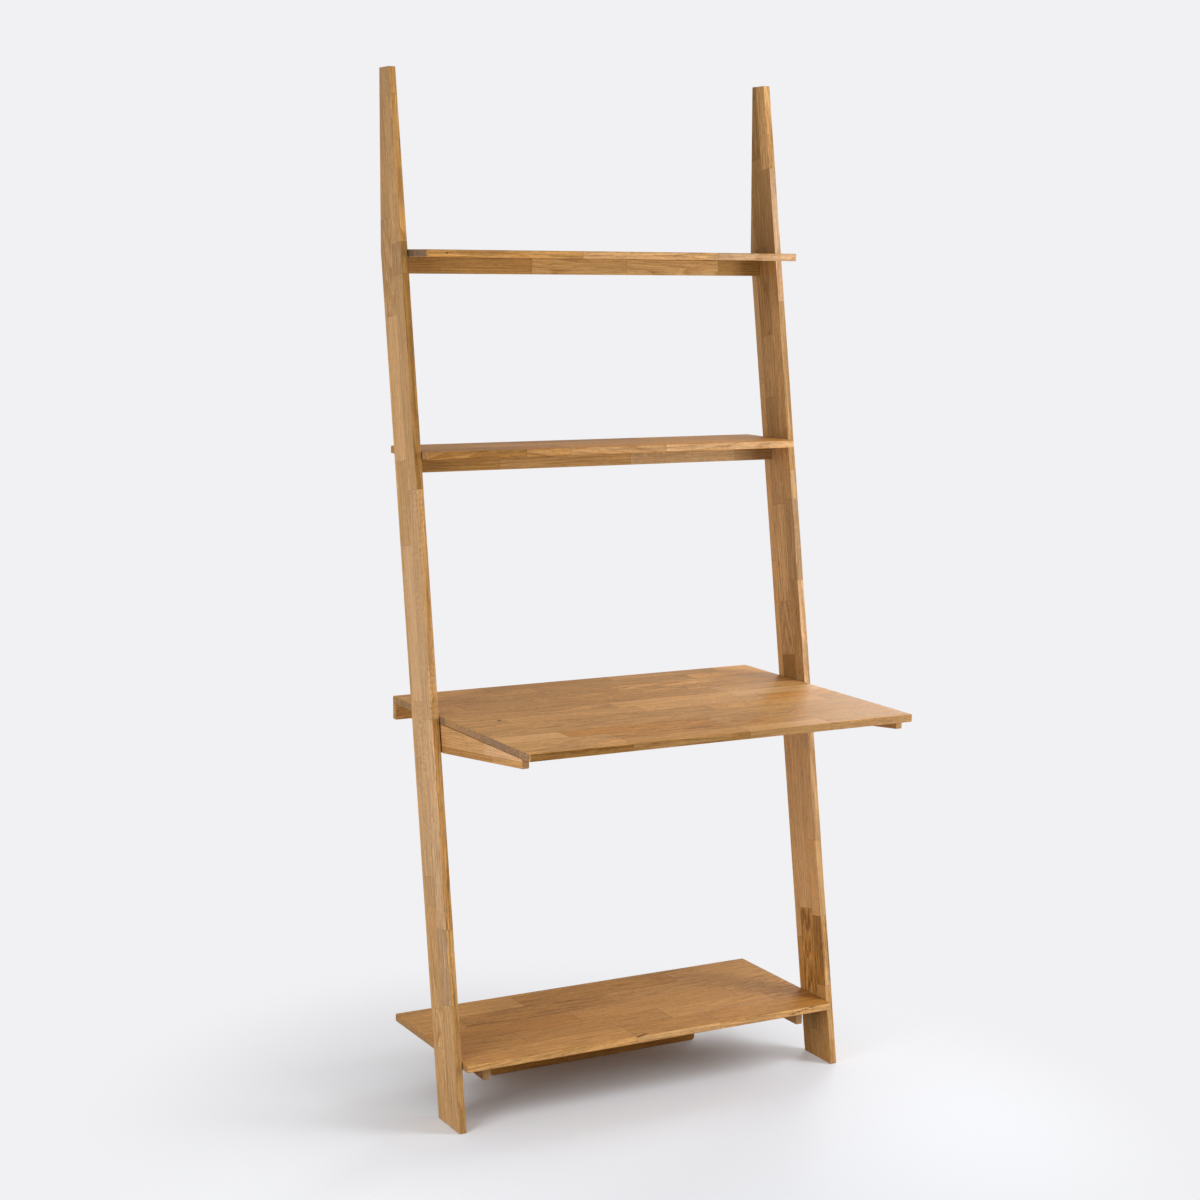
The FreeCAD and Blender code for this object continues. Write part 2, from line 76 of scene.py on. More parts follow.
# The floor, in metres, and where its shadow lies and its paint fades.
FLOOR_RADIUS = 6
FLOOR_DROP = 0.0005
SHADOW_MIDDLE = (-0.12, -0.12, 0)
SHADOW_SQUEEZE = (1.15, 1.0, 1.0)
FADE_START, FADE_END = 0.35, 1.15
SKY_STRENGTH = 0.46

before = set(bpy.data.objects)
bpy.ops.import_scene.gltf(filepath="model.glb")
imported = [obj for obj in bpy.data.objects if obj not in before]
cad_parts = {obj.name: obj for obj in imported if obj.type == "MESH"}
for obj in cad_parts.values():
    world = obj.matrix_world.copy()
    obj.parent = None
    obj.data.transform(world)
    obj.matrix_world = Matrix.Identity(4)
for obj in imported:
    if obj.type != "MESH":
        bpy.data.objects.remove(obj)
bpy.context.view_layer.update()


def linear(hex_colour):
    """Turn an sRGB hex colour into linear values with a solid alpha."""
    channels = [int(hex_colour[i:i + 2], 16) / 255 for i in (1, 3, 5)]
    return tuple(c / 12.92 if c <= 0.04045 else ((c + 0.055) / 1.055) ** 2.4
                 for c in channels) + (1.0,)


def colour_property(name, description, hex_colour):
    """Colour setting that defaults to an sRGB hex value."""
    return bpy.props.FloatVectorProperty(
        name=name, description=description, subtype="COLOR", size=4,
        min=0, max=1, default=linear(hex_colour))


def length_property(name, description, default):
    """Length setting in metres."""
    return bpy.props.FloatProperty(
        name=name, description=description, default=default, min=0,
        unit="LENGTH", subtype="DISTANCE", precision=4)


class LadderDeskSizes(bpy.types.PropertyGroup):
    """Sizes that aren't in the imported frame's boxes."""

    edge_radius: length_property("Edge radius", "Rounding of the sawn edges of rails and battens", 1.2 * MM)
    board_edge_radius: length_property(
        "Board edge radius", "Rounding of the sawn edges of boards and brackets", 1.8 * MM)
    corner_radius: length_property(
        "Board corner radius", "Rounding of the boards' corners in plan", 4 * MM)
    foot_corner_radius: length_property(
        "Foot corner radius", "Rounding of the rear foot's lower corners", 7 * MM)
    rail_depth: length_property("Rail depth", "Depth of the sloping rails, measured level", 96 * MM)
    head_reach: length_property("Head reach", "Depth of the rails' heads off the wall", 44 * MM)
    bracket_front_height: length_property(
        "Bracket height at the front", "Height of the brackets' front ends", 18 * MM)
    shadow_line_height: length_property(
        "Shadow line height", "Groove between the brackets and the writing surface", 1.3 * MM)
    shadow_line_depth: length_property(
        "Shadow line depth", "How deep that groove goes into the brackets' faces", 5 * MM)
    cam_diameter: length_property("Cam diameter", "Diameter of the cam housings", 12 * MM)
    screw_head_diameter: length_property("Screw head diameter", "Diameter of the pan heads", 7 * MM)


class LadderDeskColours(bpy.types.PropertyGroup):
    """Colours of the woods, the metals and the studio."""

    pale_latewood: colour_property("Pale oak latewood", "Dense part of each ring in the rails", "#CC9F6A")
    pale_earlywood: colour_property(
        "Pale oak earlywood", "Porous part of each ring in the rails", "#AC7D49")
    amber_latewood: colour_property(
        "Amber oak latewood", "Dense part of each ring in the wide boards", "#CC9859")
    amber_earlywood: colour_property(
        "Amber oak earlywood", "Porous part of each ring in the wide boards", "#AB7539")
    rosy_latewood: colour_property(
        "Rosy oak latewood", "Dense part of each ring in the brackets", "#CE9E6B")
    rosy_earlywood: colour_property(
        "Rosy oak earlywood", "Porous part of each ring in the brackets", "#AE7C4A")
    batten_latewood: colour_property(
        "Batten oak latewood", "Dense part of each ring in the aprons", "#C39C66")
    batten_earlywood: colour_property(
        "Batten oak earlywood", "Porous part of each ring in the aprons", "#A87D49")
    pore: colour_property("Oak pore", "Open pores, darkened by the oil", "#74491F")
    end_grain: colour_property("Oak end grain", "Sawn ends of the staves, which drink more oil", "#715B4A")
    fleck: colour_property("Oak ray fleck", "Medullary rays cut lengthwise", "#DDB27C")
    knot: colour_property("Oak knot", "Pin knots, cracks and streaks", "#4A2E18")
    beech: colour_property("Beech", "Fluted dowels", "#D2B48A")
    steel: colour_property("Zinc-plated steel", "Screws, bolts and angles", "#B9BCBE")
    cast_zinc: colour_property("Cast zinc", "Cam housings", "#9C9EA0")
    brass: colour_property("Brass", "Threaded sleeves in the rails", "#C9A75A")
    nylon: colour_property("Nylon", "Spacers beside the brackets", "#3A3632")
    floor: colour_property("Floor", "Plain pale floor", "#EFF1F5")
    floor_bounce: colour_property("Floor bounce", "What the floor throws back up at the desk", "#C2C3C8")
    backdrop: colour_property("Backdrop", "Plain pale surroundings", "#F1F1F3")


def sizes():
    """The scene's size settings."""
    return bpy.context.scene.ladder_desk_sizes


# ---- shaping tools ----

def deselect():
    """Leave object mode with nothing selected."""
    if bpy.context.object and bpy.context.object.mode != "OBJECT":
        bpy.ops.object.mode_set(mode="OBJECT")
    bpy.ops.object.select_all(action="DESELECT")


def activate(piece):
    """Make one piece the only selected and active object."""
    deselect()
    piece.select_set(True)
    bpy.context.view_layer.objects.active = piece


def block(name, low, high):
    """Square block between two corners, with its place in its mesh."""
    low, high = Vector(low), Vector(high)
    deselect()
    bpy.ops.mesh.primitive_cube_add(size=1, location=(low + high) / 2)
    piece = bpy.context.object
    piece.name = piece.data.name = name
    piece.scale = high - low
    bpy.ops.object.transform_apply(location=True, rotation=True, scale=True)
    return piece


def edit(piece, kind, wanted, operator, **settings):
    """Run a mesh operator on the edges or faces of a piece that pass a test."""
    mesh = piece.data
    activate(piece)
    bpy.ops.object.mode_set(mode="EDIT")
    bpy.ops.mesh.select_mode(type=kind)
    bpy.ops.mesh.select_all(action="DESELECT")
    bpy.ops.object.mode_set(mode="OBJECT")
    for part in mesh.edges if kind == "EDGE" else mesh.polygons:
        part.select = wanted(part)
    bpy.ops.object.mode_set(mode="EDIT")
    operator(**settings)
    bpy.ops.object.mode_set(mode="OBJECT")


def apply_modifier(piece, name, kind, **settings):
    """Change a piece for good with a modifier."""
    activate(piece)
    modifier = piece.modifiers.new(name, kind)
    for key, value in settings.items():
        setattr(modifier, key, value)
    bpy.ops.object.modifier_apply(modifier=modifier.name)


def blank(node):
    """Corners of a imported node, and a square block between them."""
    low, high = box_of(node)
    return low, high, block(node + "_staved", low, high)


def saw(piece, point, outward):
    """Cut away what lies past a plane and close the cut."""
    edit(piece, "FACE", lambda face: True, bpy.ops.mesh.bisect,
         plane_co=point, plane_no=outward, use_fill=True, clear_outer=True)


def bevel_edges(piece, wanted, radius, segments):
    """Round the edges whose middle and direction pass a test."""
    def passes(edge):
        start, end = (piece.data.vertices[index].co for index in edge.vertices)
        return wanted((start + end) / 2, (end - start).normalized())

    edit(piece, "EDGE", passes, bpy.ops.mesh.bevel,
         offset=radius, segments=segments, affect="EDGES", clamp_overlap=False)


def bit(start, end, radius):
    """Drill bit from a point to another."""
    start, end = Vector(start), Vector(end)
    run = end - start
    turn = UP.rotation_difference(run.normalized())
    deselect()
    bpy.ops.mesh.primitive_cylinder_add(
        vertices=32, radius=radius, depth=run.length,
        location=(start + end) / 2, rotation=turn.to_euler())
    bpy.ops.object.transform_apply(location=True, rotation=True, scale=True)
    return bpy.context.object


def cut_out(piece, cutters):
    """Bore and groove a piece with cutters that don't meet one another."""
    deselect()
    for cutter in cutters:
        cutter.select_set(True)
    bpy.context.view_layer.objects.active = cutters[0]
    if len(cutters) > 1:
        bpy.ops.object.join()
    cutter = bpy.context.object
    apply_modifier(piece, "bored holes", "BOOLEAN",
                   operation="DIFFERENCE", solver="EXACT", object=cutter)
    bpy.data.objects.remove(cutter)


# ---- staves ----

# Millimetres past the outermost staves, so that a piece's own edges get no glue line.
FAR = 1000
# Where the outermost staves' logs end, in millimetres along, and how long a log is.
LOG_ENDS = (-400, 2000)
LOG_LENGTH = 4000
# How the staves that no look names differ.
TONE_SPREAD = 0.09
WARMTH_SPREAD = 0.35
CUTS = ("plain", "rift", "quarter")
CUT_ODDS = (5, 4, 2)
# Cosine above which a face counts as an end or as a front edge.
SQUARE_ON = 0.8
# How a unit of warmth moves red, green and blue, as natural logarithms.
WARMTH_SHARES = (0.025, -0.005, -0.10)

# What the material reads from a staved mesh.
STAVE_ATTRIBUTES = {
    "log": ("FLOAT_VECTOR", "CORNER"), "stave_tint": ("FLOAT_VECTOR", "FACE"),
    "stave_figure": ("FLOAT_VECTOR", "FACE"), "stave_boldness": ("FLOAT", "FACE"),
    "glue_before": ("FLOAT_VECTOR", "CORNER"), "glue_after": ("FLOAT_VECTOR", "CORNER"),
}


class Boards:
    """How a piece is glued up from staves.

    start is a point on the piece, along its grain and across its rows. rows are
    the glue lines in millimetres across from start, and joints the butt joints
    of each row in millimetres along. looks gives row by row the tone, warmth and
    cut of its staves, how bold their grain is and how strong their ripple; what
    is left out is drawn by lot from a seed. Some tones also hold painted shade
    where a stave lies in shade. edges gives how much lighter and warmer the
    narrow front edges of the staves in front_row are drawn than their broad
    faces: partly the edge grain's own look, partly painted light and sheen by
    where the lamps fall. ends names by (row, place) how far a sawn end goes to
    the colour of end grain, near end_share elsewhere; beside a rail that share
    is partly painted shade.
    """

    def __init__(self, start, along, across, joints, rows=(), looks=(), front_row=0,
                 edges=(), ends=None, end_share=0.25):
        self.start = Vector(start)
        self.along = Vector(along).normalized()
        self.across = Vector(across).normalized()
        self.through = self.along.cross(self.across)
        self.rows = rows
        self.joints = joints
        self.looks = {(row, place): look for row, staves in enumerate(looks)
                      for place, look in enumerate(staves)}
        self.edges = {(front_row, place): edge for place, edge in enumerate(edges)}
        self.ends = ends or {}
        self.end_share = end_share

    def place(self, point):
        """Row and place of the stave that a point lies in."""
        offset = (point - self.start) / MM
        row = bisect_right(self.rows, offset.dot(self.across))
        return row, bisect_right(self.joints[row], offset.dot(self.along))

    def span(self, spot, begin, end):
        """Where a stave starts and ends across and along, the outermost at begin and end."""
        row, place = spot
        sides = (-FAR, *self.rows, FAR)
        ends = (begin, *self.joints[row], end)
        return sides[row:row + 2], ends[place:place + 2]


def pith(cut, dice):
    """Where a stave's pith runs: across, below, tilt and turn (mm and radians)."""
    side = dice.choice((-1, 1))
    if cut == "plain":
        return (dice.uniform(-9, 9), -dice.uniform(30, 70),
                side * math.radians(dice.uniform(1.2, 3.2)), math.radians(dice.uniform(-0.6, 0.6)))
    if cut == "rift":
        return (side * dice.uniform(45, 90), -dice.uniform(40, 80),
                math.radians(dice.uniform(-0.6, 0.6)), math.radians(dice.uniform(-0.8, 0.8)))
    return (side * dice.uniform(80, 150), dice.uniform(-8, 8),
            math.radians(dice.uniform(-0.4, 0.4)), math.radians(dice.uniform(-0.6, 0.6)))


def tint_of(tone, warmth):
    """Factors on red, green and blue for a tone and a warmth."""
    return tuple(math.exp(tone + share * warmth) for share in WARMTH_SHARES)


def turned(a, b, angle):
    """Two coordinates or directions after their axes turn by an angle."""
    return a * math.cos(angle) + b * math.sin(angle), b * math.cos(angle) - a * math.sin(angle)


class Stave:
    """One stave's tints, figure and log, from its look or drawn by lot."""

    def __init__(self, piece_name, boards, spot):
        dice = random.Random("%s %d %d" % (piece_name, *spot))
        drawn = (dice.gauss(0, TONE_SPREAD), dice.gauss(0, WARMTH_SPREAD),
                 dice.choices(CUTS, CUT_ODDS)[0], dice.uniform(0.6, 1.3), 0.0)
        given = boards.looks.get(spot, ())
        tone, warmth, cut, self.boldness, self.ripple = given + drawn[len(given):]
        self.shift = dice.uniform(0, LOG_LENGTH)
        self.pith_across, self.pith_below, self.tilt, self.turn = pith(cut, dice)
        self.end_share = boards.ends.get(spot, boards.end_share * dice.uniform(0.85, 1.1))
        self.rays = 1.0 if cut == "quarter" else 0.25
        # A front edge's tint is partly its own look and partly painted light and sheen: darker, or lighter
        # and whiter, by where the lamps fall.
        edge_tone_and_light, edge_warmth_and_sheen = boards.edges.get(spot, (0, 0))
        self.face_tint = tint_of(tone, warmth)
        self.edge_tint_and_light = tint_of(tone + edge_tone_and_light, warmth + edge_warmth_and_sheen)
        self.end_tint = tint_of(0, 0)

    def tint(self, normal, along):
        """Tint of a face that looks along a normal; a front edge's tint holds painted light and sheen
        besides its own tone.
        """
        if abs(normal.dot(along)) > SQUARE_ON:
            return self.end_tint
        return self.edge_tint_and_light if normal.dot(FORWARD) > SQUARE_ON else self.face_tint

    def in_log(self, u, v, w):
        """Place in the log of a point along, across and through the stave."""
        u, v = turned(u, v, self.turn)
        u, w = turned(u, w, self.tilt)
        return u + self.shift, v - self.pith_across, w - self.pith_below


def lay_staves(piece, boards):
    """Part a piece into staves and write each one's tint and log coordinates."""
    for line in boards.rows:
        edit(piece, "FACE", lambda face: True, bpy.ops.mesh.bisect,
             plane_co=boards.start + boards.across * line * MM, plane_no=boards.across)
    for row, joints in enumerate(boards.joints):
        for joint in joints:
            edit(piece, "FACE", lambda face: boards.place(face.center)[0] == row,
                 bpy.ops.mesh.bisect,
                 plane_co=boards.start + boards.along * joint * MM, plane_no=boards.along)
    mesh = piece.data
    for name, (kind, domain) in STAVE_ATTRIBUTES.items():
        mesh.attributes.new(name, kind, domain)
    # Read back only now, because adding one moves the others.
    logs, tints, figures, boldness, glue_before, glue_after = (
        mesh.attributes[name].data for name in STAVE_ATTRIBUTES)
    staves = {}
    for face in mesh.polygons:
        spot = boards.place(face.center)
        if spot not in staves:
            staves[spot] = Stave(piece.name, boards, spot)
        stave = staves[spot]
        end_grain = stave.end_share * face.normal.dot(boards.along) ** 4
        tints[face.index].vector = stave.tint(face.normal, boards.along)
        figures[face.index].vector = (stave.rays, stave.ripple, end_grain)
        boldness[face.index].value = stave.boldness
        (low, high), (begin, end) = boards.span(spot, -FAR, 3 * FAR)
        middle_across, middle_along = (sum(span) / 2 for span in boards.span(spot, *LOG_ENDS))
        for corner in face.loop_indices:
            offset = (mesh.vertices[mesh.loops[corner].vertex_index].co - boards.start) / MM
            along = offset.dot(boards.along)
            across = offset.dot(boards.across)
            glue_before[corner].vector = (across - low, along - begin, 0)
            glue_after[corner].vector = (high - across, end - along, 0)
            logs[corner].vector = stave.in_log(
                along - middle_along, across - middle_across, offset.dot(boards.through))


def finish_wood(piece, node, material, boards, cutters=(), radius=None):
    """Ease, bore and stave a wooden piece, and put it in its node's place."""
    # A router and fine paper round every sawn edge.
    apply_modifier(piece, "eased edges", "BEVEL", segments=3, limit_method="ANGLE",
                   width=radius or sizes().edge_radius,
                   angle_limit=EDGE_ANGLE, use_clamp_overlap=False)
    if cutters:
        cut_out(piece, cutters)
    lay_staves(piece, boards)
    activate(piece)
    bpy.ops.object.shade_smooth_by_angle(angle=EDGE_ANGLE)
    apply_modifier(piece, "flat faces", "WEIGHTED_NORMAL", keep_sharp=True)
    deselect()
    piece.data.materials.clear()
    piece.data.materials.append(material)
    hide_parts(node)
    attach(piece, "root")


# ---- materials ----

def put(tree, kind, *values, stops=(), **settings):
    """Add a node with its settings, the grey stops of its ramp, and its inputs.

    A kind in capitals is an operation on numbers. Other operations and data types
    stand after their kind. Inputs are given in order, or by name in a dictionary.
    Each is a value, a socket, or a node that stands for its first live output.
    """
    kind, *choice = ("Math " + kind if kind.isupper() else kind).split()
    made = tree.nodes.new("ShaderNode" + kind)
    if choice:
        setattr(made, "data_type" if kind == "Mix" else "operation", choice[0])
    for key, value in settings.items():
        setattr(made, key, value)
    for index, (place, grey) in enumerate(stops):
        elements = made.color_ramp.elements
        element = elements[index] if index < len(elements) else elements.new(place)
        element.position = place
        element.color = (grey, grey, grey, 1)
    inputs = values[0] if values and isinstance(values[0], dict) else dict(enumerate(values))
    for key, value in inputs.items():
        if isinstance(value, bpy.types.Node):
            value = next(output for output in value.outputs if output.enabled)
        if isinstance(value, bpy.types.NodeSocket):
            tree.links.new(value, made.inputs[key])
        else:
            made.inputs[key].default_value = value
    return made


def new_material(name):
    """Empty node material, and what adds a node to it."""
    material = bpy.data.materials.new(name)
    material.use_nodes = True
    material.node_tree.nodes.clear()
    return material, partial(put, material.node_tree)


# Millimetres from one growth ring to the next.
RING_SPACING = 3.4
# Place in a ring, and the share of porous earlywood there.
RING_STOPS = ((0.0, 0.5), (0.08, 1.0), (0.34, 0.5), (0.68, 0.1), (0.96, 0.0))
# Radians of ripple in a millimetre, so that ripples are 11 mm apart.
RIPPLE_TURN = 0.57


class Grain:
    """The figure of oak, as nodes that read a log's coordinates in millimetres.

    u runs along the log, and v and w run across it from the pith. coarse widens
    the bundles of fibre.
    """

    def __init__(self, add, coarse):
        self.add = add
        self.coarse = coarse
        self.log, self.tint, figure, glue_before, glue_after = (
            add("Attribute", attribute_name=name).outputs["Vector"]
            for name in ("log", "stave_tint", "stave_figure", "glue_before", "glue_after"))
        self.boldness = add("Attribute", attribute_name="stave_boldness").outputs["Fac"]
        self.u, self.v, self.w = add("SeparateXYZ", self.log).outputs
        self.ray_share, self.ripple_share, self.end_grain = add("SeparateXYZ", figure).outputs
        self.glue = [add("SeparateXYZ", apart).outputs for apart in (glue_before, glue_after)]
        # Fibres are finer than 0.1 mm, drawn as bundles a few mm wide so that they show.
        self.fibres = self.noise(0.010, 0.30 / coarse, 5, 0.74)

    def noise(self, along, across, detail, roughness=0.5):
        """Noise that is stretched along the grain, its scales given a millimetre."""
        stretched = self.add("VectorMath MULTIPLY", self.log, (along, across, across))
        return self.add("TexNoise", {
            "Vector": stretched, "Scale": 1.0, "Detail": detail, "Roughness": roughness})

    def rings(self):
        """Distance from the pith, pushed out of round by up to 4 mm, and share of earlywood."""
        add = self.add
        wander = add("MULTIPLY", add("SUBTRACT", self.noise(0.003, 0.03, 1), 0.5), 16.0)
        squares = [add("MULTIPLY", side, side) for side in (self.v, self.w)]
        radius = add("ADD", add("SQRT", add("ADD", *squares)), wander)
        ring = add("FRACT", add("DIVIDE", radius, RING_SPACING))
        early = add("ValToRGB", ring, stops=RING_STOPS)
        strength = add("ADD", self.noise(0.006, 0.05, 1), 0.25)
        strength = add("MULTIPLY", strength, add("MULTIPLY", self.boldness, 0.85))
        return radius, add("MULTIPLY", early, strength, use_clamp=True)

    def streaks(self, contrast):
        """How much lighter or darker the bundles of fibre leave the wood."""
        add = self.add
        threads = self.noise(0.012, 0.46 / self.coarse, 3, 0.75)
        short_bundles = self.noise(0.07, 0.46 / self.coarse, 2, 0.7)
        bands = self.noise(0.0045, 0.06, 2)
        shares = ((self.fibres, 0.6 * contrast), (threads, 1.1 * contrast),
                  (short_bundles, 0.3 * contrast), (bands, 0.2))
        parts = [add("MULTIPLY", add("SUBTRACT", streak, 0.5), share)
                 for streak, share in shares]
        return add("MULTIPLY", reduce(partial(add, "ADD"), parts), self.boldness)

    def pores(self, early):
        """Pores, 0.3 mm wide but drawn several times as wide so that they show."""
        add = self.add
        dashes = add("ValToRGB", self.noise(0.10, 0.62 / self.coarse, 2),
                     stops=((0.54, 0.0), (0.64, 1.0)))
        share = add("ADD", add("MULTIPLY", early, 0.6), 0.35)
        return add("MULTIPLY", dashes, share)

    def ripples(self):
        """Ripples that lie across the grain in short patches."""
        add = self.add
        bend = add("MULTIPLY", self.noise(0.03, 0.09, 2), 16.0)
        wave = add("SINE", add("ADD", add("MULTIPLY", self.u, RIPPLE_TURN), bend))
        patch = add("ValToRGB", self.noise(0.012, 0.045, 1), stops=((0.50, 0.0), (0.62, 1.0)))
        return add("MULTIPLY", wave, add("MULTIPLY", patch, self.ripple_share))

    def flecks(self, radius):
        """Flecks of the rays, thin plates that stand along the radius and the grain."""
        add = self.add
        around = add("MULTIPLY", add("ARCTAN2", self.w, self.v), 46.0)
        outward = add("MULTIPLY", radius, 0.05)
        along = add("MULTIPLY", self.u, 0.10)
        plates = add("CombineXYZ", around, outward, along)
        plates = add("TexNoise", {"Vector": plates, "Scale": 1.0, "Detail": 1.0})
        plates = add("ValToRGB", plates, stops=((0.60, 0.0), (0.70, 1.0)))
        return add("MULTIPLY", plates, self.ray_share)

    def glue_lines(self):
        """Darkness of the glue lines, a hair wide but drawn as a soft mm so that they show."""
        closest = partial(self.add, "MINIMUM")
        nearest = closest(*(closest(across, along) for across, along, _ in self.glue))
        return self.add("MapRange", {"Value": nearest, "From Min": 0.15, "To Min": 0.30,
                                     "From Max": 0.75 * self.coarse, "To Max": 0.0})

    def dark_spots(self, spots):
        """1 inside a knot, a crack or a streak, and 0 outside them all.

        A spot is its centre in metres, its reach in millimetres and its faintness.
        """
        add = self.add
        place = add("TexCoord").outputs["Object"]
        wobble = add("TexNoise", {"Vector": place, "Scale": 300.0, "Detail": 1.0})
        rims = []
        for centre, reach, faintness in spots:
            apart = add("VectorMath SUBTRACT", place, centre)
            apart = add("VectorMath DIVIDE", apart, [side * MM for side in reach])
            rims.append(add("ADD", add("VectorMath LENGTH", apart), faintness))
        nearest = reduce(partial(add, "MINIMUM"), rims)
        nearest = add("ADD", nearest, add("MULTIPLY", wobble, 0.6))
        return add("MapRange", {
            "Value": nearest, "From Min": 0.9, "From Max": 1.6, "To Min": 1.0, "To Max": 0.0})


def oiled_oak(name, kind, spots=(), coarse=1.0, contrast=1.5):
    """Solid oak, planed, sanded and rubbed with hard oil.

    Growth rings cut lengthwise give straight bands and arches, fine fibres give
    streaks, open pores give short dark dashes, and the rays give pale flecks
    where a stave is cut on the quarter. The oil leaves a low satin sheen.
    kind is pale, amber, rosy or batten. coarse widens the bundles of fibre on
    boards that are mostly seen aslant, and contrast strengthens them.
    """
    colours = bpy.context.scene.ladder_desk_colours
    latewood, earlywood = (getattr(colours, kind + part) for part in ("_latewood", "_earlywood"))
    material, add = new_material(name)
    grain = Grain(add, coarse)
    radius, early = grain.rings()
    pores = grain.pores(early)

    wood = latewood
    for share, colour in ((early, earlywood),
                          (add("MULTIPLY", grain.flecks(radius), 0.35), colours.fleck),
                          (add("MULTIPLY", pores, 0.5), colours.pore)):
        wood = add("Mix RGBA", {"Factor": share, "A": wood, "B": colour})
    wood = add("VectorMath MULTIPLY", wood, grain.tint)
    wood = add("Mix RGBA", {"Factor": grain.end_grain, "A": wood, "B": colours.end_grain})

    shade = add("ADD", 1.0, grain.streaks(contrast))
    shade = add("ADD", shade, add("MULTIPLY", grain.ripples(), 0.09))
    shade = add("MULTIPLY", shade, add("SUBTRACT", 1.0, grain.glue_lines()))
    wood = add("VectorMath SCALE", {0: wood, "Scale": shade})
    if spots:
        wood = add("Mix RGBA", {"Factor": grain.dark_spots(spots), "A": wood, "B": colours.knot})

    # Fibres and pores leave the sheen uneven, and the pores lie open.
    rough = add("ADD", 0.50, add("MULTIPLY", grain.fibres, 0.12))
    rough = add("ADD", rough, add("MULTIPLY", pores, 0.15))
    height = add("SUBTRACT", add("MULTIPLY", grain.fibres, 0.5), pores)
    bump = add("Bump", {"Strength": 0.5, "Distance": 0.06 * MM, "Height": height})
    shader = add("BsdfPrincipled", {
        "Base Color": wood, "Roughness": rough, "IOR": 1.48,
        "Specular IOR Level": 0.10, "Normal": bump})
    add("OutputMaterial", {"Surface": shader})
    return material


def mottled(name, colour, roughness, speckle_mm, metallic=1.0):
    """Plated, cast, turned or moulded surface: a fine mottle in its tone and sheen."""
    material, add = new_material(name)
    place = add("TexCoord").outputs["Object"]
    mottle = add("TexNoise", {"Vector": place, "Scale": 1 / (speckle_mm * MM), "Detail": 3.0})
    rough = add("MapRange", {
        "Value": mottle, "To Min": roughness - 0.08, "To Max": roughness + 0.12})
    dull = tuple(c * 0.82 for c in colour[:3]) + (1.0,)
    tone = add("Mix RGBA", {"Factor": mottle, "A": colour, "B": dull})
    bump = add("Bump", {"Strength": 0.25, "Distance": 0.03 * MM, "Height": mottle})
    shader = add("BsdfPrincipled", {
        "Base Color": tone, "Metallic": metallic, "Roughness": rough, "Normal": bump})
    add("OutputMaterial", {"Surface": shader})
    return material


def dress(material, *nodes):
    """Give carried-over fixings their finish."""
    for piece in (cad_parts[node] for node in nodes):
        if not piece.material_slots:
            piece.data.materials.append(material)
        for holder in piece.material_slots:
            holder.material = material


# ---- plans ----

PLANS = {}

# Each plan's edges hold painted light and sheen as well as the edge grain's own look: the left rail's front
# edges are painted darker, and the right rail's and the boards' right-hand ones lighter and whiter.
# Millimetres behind the front edge for the glue lines, and of height for the joints.
PLANS["left_rail"] = dict(
    rows=(39.5, 85),
    joints=((226, 361, 735, 1145, 1530, 1587, 1850), (145, 215, 400, 452, 767, 1048, 1200, 1462, 1636),
            (300, 690, 1120, 1500)),
    looks=(
        ((-0.04, -0.4, "rift", 1), (-0.11, -2.5, "rift", 1.7), (0.12, -2.6, "plain", 1.4),
         (-0.04, -1.8, "rift", 1, 1), (-0.11, -0.5, "rift", 1), (-0.22, -0.4, "plain", 1.3),
         (0.04, -0.4, "plain", 1.2), (-0.03, -0.6, "quarter", 0.8)),
        ((0, 0, "plain", 1), (0.02, 0.1, "plain", 1.4), (-0.08, 0.4, "plain", 1), (-0.16, -1, "rift", 1),
         (0, -1.8, "quarter", 1, 1), (0.08, -2, "rift", 0.6), (-0.12, -0.4, "quarter", 0.8),
         (0.1, -0.8, "rift", 0.8), (-0.1, 0, "plain", 1.2), (-0.06, 0.4, "rift", 1))),
    front_row=0, edges=((-0.18, 2.5), (0, 4.5), (-0.24, 5.3), (-0.02, 2.7), (-0.42, 4.7), (-0.26, 3.4),
                        (-0.05, 3), (0, 3)))
PLANS["right_rail"] = dict(
    rows=(29.6, 75),
    joints=((152, 286, 433, 735, 939, 1096, 1153, 1480, 1740),
            (62, 92, 298, 720, 794, 899, 1089, 1222, 1298, 1420, 1590, 1765),
            (240, 600, 980, 1330, 1650)),
    looks=(
        ((-0.1, 2.5, "rift", 1), (-0.42, 4.6, "plain", 2), (0.24, 0.4, "rift", 0.8),
         (0.26, -0.8, "rift", 1), (-0.26, 0.9, "plain", 1.3), (-0.28, -0.3, "quarter", 1),
         (-0.12, 0, "rift", 1), (-0.12, 0.5, "plain", 1.2), (-0.24, 1.6, "rift", 1),
         (0.24, 0.5, "plain", 1.5)),
        ((-0.02, 1.8, "rift", 1), (-0.24, 1.5, "rift", 1), (-0.2, 4.2, "plain", 2.4),
         (0.22, -0.5, "rift", 1), (-0.66, 3.3, "rift", 1), (-0.17, -0.4, "plain", 1.2),
         (0.01, -0.6, "rift", 1.2), (-0.2, -0.2, "quarter", 1.2), (-0.3, 0.4, "rift", 1),
         (-0.2, 0.3, "rift", 1.2), (-0.44, 1.8, "plain", 1.3), (-0.34, 1.8, "rift", 1),
         (-0.5, 3.2, "plain", 1.3)),
        ((-0.11, 3.5), (0.16, 0.3))),
    front_row=0, edges=((0.03, -1.5), (0.39, -4.5), (-0.32, -0.8), (-0.42, 0.2), (0.43, -3.5),
                        (0.15, -1.7), (0.06, -1), (-0.06, -0.3), (0.52, -4.8)))

